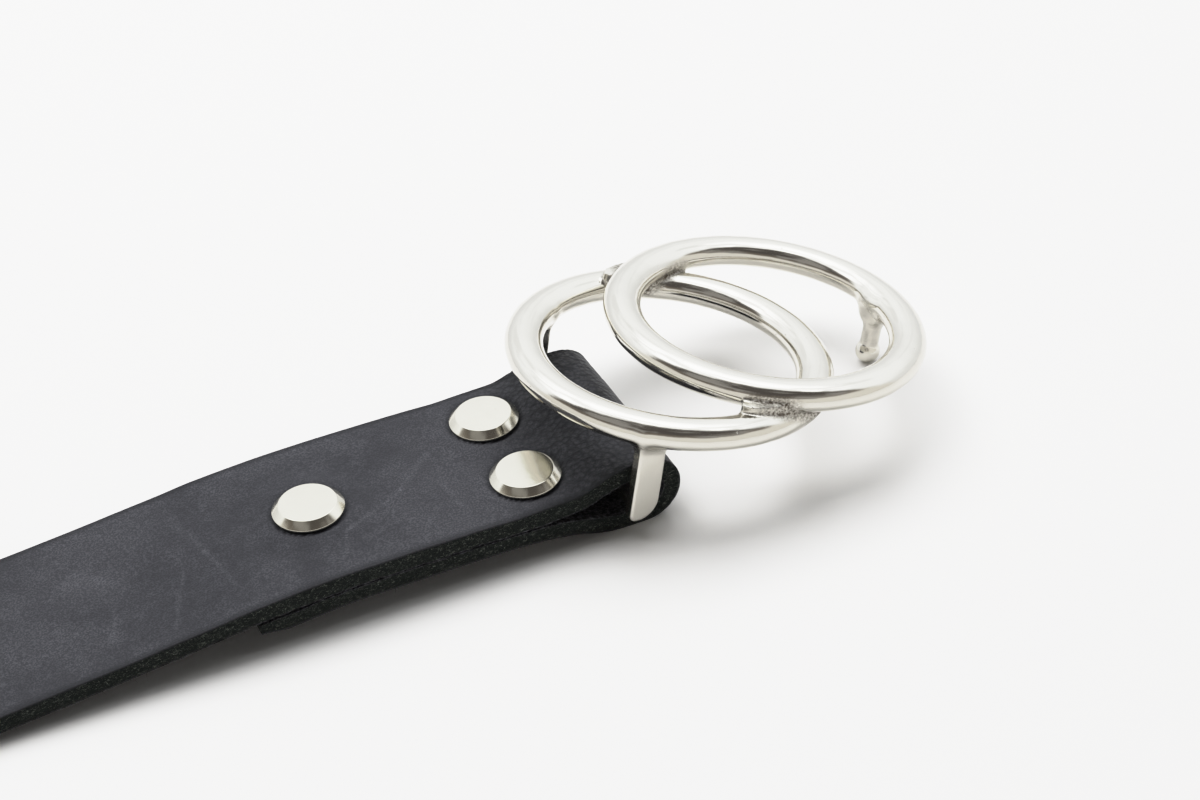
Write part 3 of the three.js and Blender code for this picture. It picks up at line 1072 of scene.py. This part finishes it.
class BELT_OT_buckle(Operator):
    """Make the cast double ring buckle"""

    bl_idname = "belt.buckle"
    bl_label = "Double ring buckle"

    def execute(self, context):
        buckle = context.scene.belt_buckle
        casting = Casting(buckle)
        mesh = worked(casting_core(casting), "REMESH", mode="VOXEL", voxel_size=VOXEL, adaptivity=0.0)
        points = points_of(mesh)
        for _ in range(SNAPS):
            slope = casting.slope(points)
            steepness = np.maximum((slope**2).sum(axis=1), 0.25)
            step = casting.distance(points) / steepness
            points -= slope * np.clip(step, -VOXEL, VOXEL)[:, None]
        slope = casting.slope(points)
        slope /= np.linalg.norm(slope, axis=1)[:, None]
        parts = np.column_stack(casting.parts(points))
        near = np.sort(parts, axis=1)
        joint = 1 - smooth_share(near[:, 1] - near[:, 0], 0.05 * MM, 0.45 * MM)
        cast = smooth_share(parts[:, :2].min(axis=1) - parts[:, 2:].min(axis=1), -0.6 * MM, 0.6 * MM)
        cast *= smooth_share(casting.ball(points), 0, 0.4 * MM)
        stalk = smooth_share(parts[:, :PRONG].min(axis=1) - parts[:, PRONG], 0, 0.6 * MM) * cast
        solder = casting.rough_solder(points, parts)
        polish_way = casting.polish_way(points, parts)
        points += slope * casting.crust(points, solder)[:, None]

        lie = Matrix.Rotation(BUCKLE_TURN, 4, "Z") @ Matrix.Rotation(buckle.tilt, 4, "Y")
        turned = np.array(lie.to_3x3())
        set_points(mesh, points @ turned.T + np.array(BAR))
        carry(mesh, joint=joint, cast=cast, solder=solder, stalk=stalk, polish_way=polish_way)
        material = metal_finish(buckle)
        new_piece("buckle_casting", mesh, material, "buckle", "polished_metal", "double_ring_buckle")
        mesh.normals_split_custom_set_from_vertices(slope @ turned.T)
        return {"FINISHED"}


# Rivets

CAP_SOFTNESS = 0.16 * MM
DISHED_SHARE = 0.93
DISH_STEPS = 12
RIVET_STEPS = 112


def arc(centre, radius, start, end, steps=5):
    """Points on an arc of an outline, with angles in degrees from the outward way."""
    points = []
    for step in range(steps + 1):
        turn = math.radians(start + (end - start) * step / steps)
        points.append((centre[0] + radius * math.cos(turn), centre[1] + radius * math.sin(turn)))
    return points


def rivet_outline(rivet, grip):
    """Radius and height pairs from the middle of the face down to the middle of the back cap."""
    face = rivet.face / 2
    cap = rivet.cap / 2
    fall = rivet.cap_height - rivet.rim
    slant = math.degrees(math.atan2(cap - face, fall))
    soft = CAP_SOFTNESS
    under = -rivet.cap_height
    parts = np.linspace(0, 1, DISH_STEPS)
    dish = [(face * DISHED_SHARE * part, rivet.dish * (part**2 - 1)) for part in parts]
    shoulder = arc((face - soft * 0.5, -soft), soft, 90, slant)
    rim = arc((cap - soft, under + rivet.rim - soft * 0.4), soft, slant, 0)
    foot = arc((cap - soft / 2, under + soft / 2), soft / 2, 0, -90)
    bottom = under - grip - rivet.back_cap_height
    shank = rivet.shank / 2
    back = rivet.back_cap / 2
    tail = [(shank, under), (shank, under - grip), (back - soft, under - grip)]
    tail += arc((back - 2 * soft, bottom + 2 * soft), 2 * soft, 30, -90)
    return dish + shoulder + rim + foot + tail + [(back * 0.6, bottom), (0, bottom)]


def rivet_finish(rivet):
    """Polished nickel with a warm cast and faint turning marks."""
    made = Finish("warm_nickel")
    haze = made.cloud(2.5 * MM, detail=3, roughness=0.6)
    scuffs = made.cloud(0.25 * MM, detail=3, roughness=0.6, stretch=(0.25, 2.0, 1))
    speck = 1 - made.step(made.cells(3.1 * MM), 0.02, 0.05)
    shade = made.blend(haze, rivet.metal, [value * 0.93 for value in rivet.metal])
    roughness = 0.13 + haze * 0.06 + made.step(scuffs, 0.55, 0.8) * 0.06 + speck * 0.2
    relief = made.relief(made.cloud(1.8 * MM, detail=2), 0.015 * MM)
    return made.finish(Base_Color=shade, Metallic=1.0, Roughness=roughness, Normal=relief)


class BELT_OT_rivets(Operator):
    """Make the cap rivets through the folded strap"""

    bl_idname = "belt.rivets"
    bl_label = "Cap rivets"

    def execute(self, context):
        rivet = context.scene.belt_rivet
        material = rivet_finish(rivet)
        for name, (place, axis) in rivet_seats().items():
            low = min(Vector(vertex.co).dot(axis) for vertex in frame["nodes"][name].data.vertices)
            grip = place.dot(axis) - low - rivet.cap_height - rivet.back_cap_height
            shape = bmesh.new()
            stand = Matrix.Translation(place) @ axis.to_track_quat("Z", "Y").to_matrix().to_4x4()
            spun(shape, rivet_outline(rivet, grip), RIVET_STEPS, stand)
            mesh = mesh_of(shape, name + "_cap")
            new_piece(name + "_cap", mesh, material, "strap", "rivet_metal", name)
        return {"FINISHED"}


# Stage

FLOOR_REACH = 3
FLOOR_DROP = 0.03 * MM


def camera_matrix(stage):
    """Where the camera stands and how it is turned."""
    level = math.cos(stage.elevation)
    back = Vector((
        math.sin(stage.azimuth) * level,
        -math.cos(stage.azimuth) * level,
        math.sin(stage.elevation),
    ))
    right = Vector((math.cos(stage.azimuth), math.sin(stage.azimuth), 0))
    up = back.cross(right)
    turn = Matrix((right, up, back)).transposed() @ Matrix.Rotation(stage.roll, 3, "Z")
    target = Vector((BAR.x + stage.aim_ahead, BAR.y + stage.aim_across, 0))
    return Matrix.Translation(target + back * stage.distance) @ turn.to_4x4()


def softbox(place, aim, width, height, power):
    """A large soft lamp that faces a point and isn't mirrored by the metal."""
    lamp = bpy.data.lights.new("window", "AREA")
    lamp.shape = "RECTANGLE"
    lamp.size = width
    lamp.size_y = height
    lamp.energy = power
    holder = bpy.data.objects.new("window", lamp)
    holder.location = place
    holder.rotation_euler = (Vector(aim) - Vector(place)).to_track_quat("-Z", "Y").to_euler()
    holder.visible_glossy = False
    bpy.context.scene.collection.objects.link(holder)


# How bright the room is, far from the camera and behind it, and what it keeps from lighting the floor.
ROOM = {
    "far low": (0.98, 1.0, 1.03),
    "far middle": (1.42, 1.46, 1.5),
    "far high": (2.9, 2.95, 3.0),
    "far patches": (1.05, 1.07, 1.1),
    "near low": (0.92, 0.90, 0.86),
    "near middle": (0.23, 0.20, 0.17),
    "near high": (0.10, 0.09, 0.085),
    "near patches": (0.34, 0.33, 0.32),
    "held back": (0, 0, 0),
}


def studio_surroundings(stage):
    """An uneven bright far side, a dim ceiling over the camera and a pale low wall behind it."""
    world = bpy.data.worlds.new("studio")
    world.use_nodes = True
    bpy.context.scene.world = world
    made = Nodes(world.node_tree)
    way = made.node("ShaderNodeTexCoord", output="Generated")
    behind = (math.sin(stage.azimuth), -math.cos(stage.azimuth), 0)
    facing = made.vector("DOT_PRODUCT", way, behind, "Value")
    height = made.node("ShaderNodeSeparateXYZ", None, {0: way}, "Z")
    soft = {"Vector": way, "Scale": 3.2, "Detail": 2.0, "Distortion": 0.6}
    patches = made.node("ShaderNodeTexNoise", None, soft)
    uneven = (patches - 0.5) * 0.25
    low_sky = made.blend(made.step(height, 0.05, 0.55), ROOM["far low"], ROOM["far middle"])
    bright = made.blend(made.step(height, 0.66, 0.92), low_sky, ROOM["far high"])
    far = made.blend(made.step(patches, 0.48, 0.6) * 0.75, bright, ROOM["far patches"])
    dim = made.blend(made.step(height, 0.5, 0.8), ROOM["near middle"], ROOM["near high"])
    dim = made.blend(made.step(patches, 0.5, 0.62), dim, ROOM["near patches"])
    near = made.blend(made.step(height + uneven, 0.45, 0.54), ROOM["near low"], dim)
    soft_light = made.node("ShaderNodeLightPath", output="Is Diffuse Ray")
    far = made.blend(soft_light * (1 - made.step(height, 0.3, 0.85)) * 0.75, far, ROOM["held back"])
    near = made.blend(soft_light * 0.75, near, ROOM["held back"])
    camera_side = made.step(facing + uneven, -0.16, 0.06)
    background = world.node_tree.nodes["Background"]
    made.fill(background, {"Color": made.blend(camera_side, far, near), "Strength": 1.0})


# How a camera holds back the lights: what falls on it, as a share of BRIGHTEST, and what it shows.
TONES = (
    {"light": 0.05, "shown": 0.100},
    {"light": 0.15, "shown": 0.300},
    {"light": 0.25, "shown": 0.500},
    {"light": 0.35, "shown": 0.690},
    {"light": 0.45, "shown": 0.815},
    {"light": 0.55, "shown": 0.882},
    {"light": 0.65, "shown": 0.922},
    {"light": 0.80, "shown": 0.955},
)
BRIGHTEST = 2.0
WHITE_SHOWN = 0.985


def camera_tone(view):
    """Sets up the view so that the lights roll off softly, as on a photograph."""
    view.view_transform = "Standard"
    view.use_curve_mapping = True
    curves = view.curve_mapping
    curves.white_level = (BRIGHTEST, BRIGHTEST, BRIGHTEST)
    curve = curves.curves[3]
    curve.points[-1].location = (1, WHITE_SHOWN)
    for tone in TONES:
        curve.points.new(tone["light"], tone["shown"])
    curves.update()


def floor_finish(stage):
    """A pale tabletop with a faint sheen."""
    made = Finish("pale_floor")
    return made.finish(Base_Color=stage.floor, Roughness=0.38, Specular_IOR_Level=0.35)


class BELT_OT_stage(Operator):
    """Make the floor, the lights and the camera"""

    bl_idname = "belt.stage"
    bl_label = "Floor, lights and camera"

    def execute(self, context):
        stage = context.scene.belt_stage
        shape = bmesh.new()
        bmesh.ops.create_grid(shape, x_segments=1, y_segments=1, size=FLOOR_REACH)
        bmesh.ops.translate(shape, verts=shape.verts, vec=(0, 0, -FLOOR_DROP))
        floor = bpy.data.objects.new("floor", mesh_of(shape, "floor"))
        floor.data.materials.append(floor_finish(stage))
        context.scene.collection.objects.link(floor)

        studio_surroundings(stage)
        softbox(place=(0.05, 0.25, 0.58), aim=(0.03, 0.02, 0), width=0.75, height=0.45, power=4.3)

        lens = bpy.data.cameras.new("camera")
        lens.lens = stage.lens
        lens.sensor_width = 36
        lens.sensor_fit = "HORIZONTAL"
        lens.clip_start = 0.01
        camera = bpy.data.objects.new("camera", lens)
        camera.matrix_world = camera_matrix(stage)
        context.scene.collection.objects.link(camera)
        context.scene.camera = camera
        camera_tone(context.scene.view_settings)
        return {"FINISHED"}


class BELT_PT_sidebar(Panel):
    """Everything that makes the belt, in the order in which it is made"""

    bl_label = "Double ring belt"
    bl_idname = "BELT_PT_sidebar"
    bl_space_type = "VIEW_3D"
    bl_region_type = "UI"
    bl_category = "Belt"

    def draw(self, context):
        for maker in OPERATORS:
            self.layout.operator(maker.bl_idname)


SETTINGS = {
    "belt_strap": StrapSettings,
    "belt_fibre": FibreSettings,
    "belt_buckle": BuckleSettings,
    "belt_rivet": RivetSettings,
    "belt_stage": StageSettings,
}
OPERATORS = (BELT_OT_strap, BELT_OT_fibres, BELT_OT_buckle, BELT_OT_rivets, BELT_OT_stage)


def register():
    """Registers the classes and puts the settings on the scene."""
    for kind in (*SETTINGS.values(), *OPERATORS, BELT_PT_sidebar):
        bpy.utils.register_class(kind)
    for name, kind in SETTINGS.items():
        setattr(bpy.types.Scene, name, PointerProperty(type=kind))


def unregister():
    """Takes away what register added."""
    for name in SETTINGS:
        delattr(bpy.types.Scene, name)
    for kind in (BELT_PT_sidebar, *reversed(OPERATORS), *reversed(SETTINGS.values())):
        bpy.utils.unregister_class(kind)


def main():
    """Makes the belt and the stage."""
    register()
    bpy.ops.belt.strap()
    bpy.ops.belt.fibres()
    bpy.ops.belt.buckle()
    bpy.ops.belt.rivets()
    bpy.ops.belt.stage()


if __name__ == "__main__":
    main()
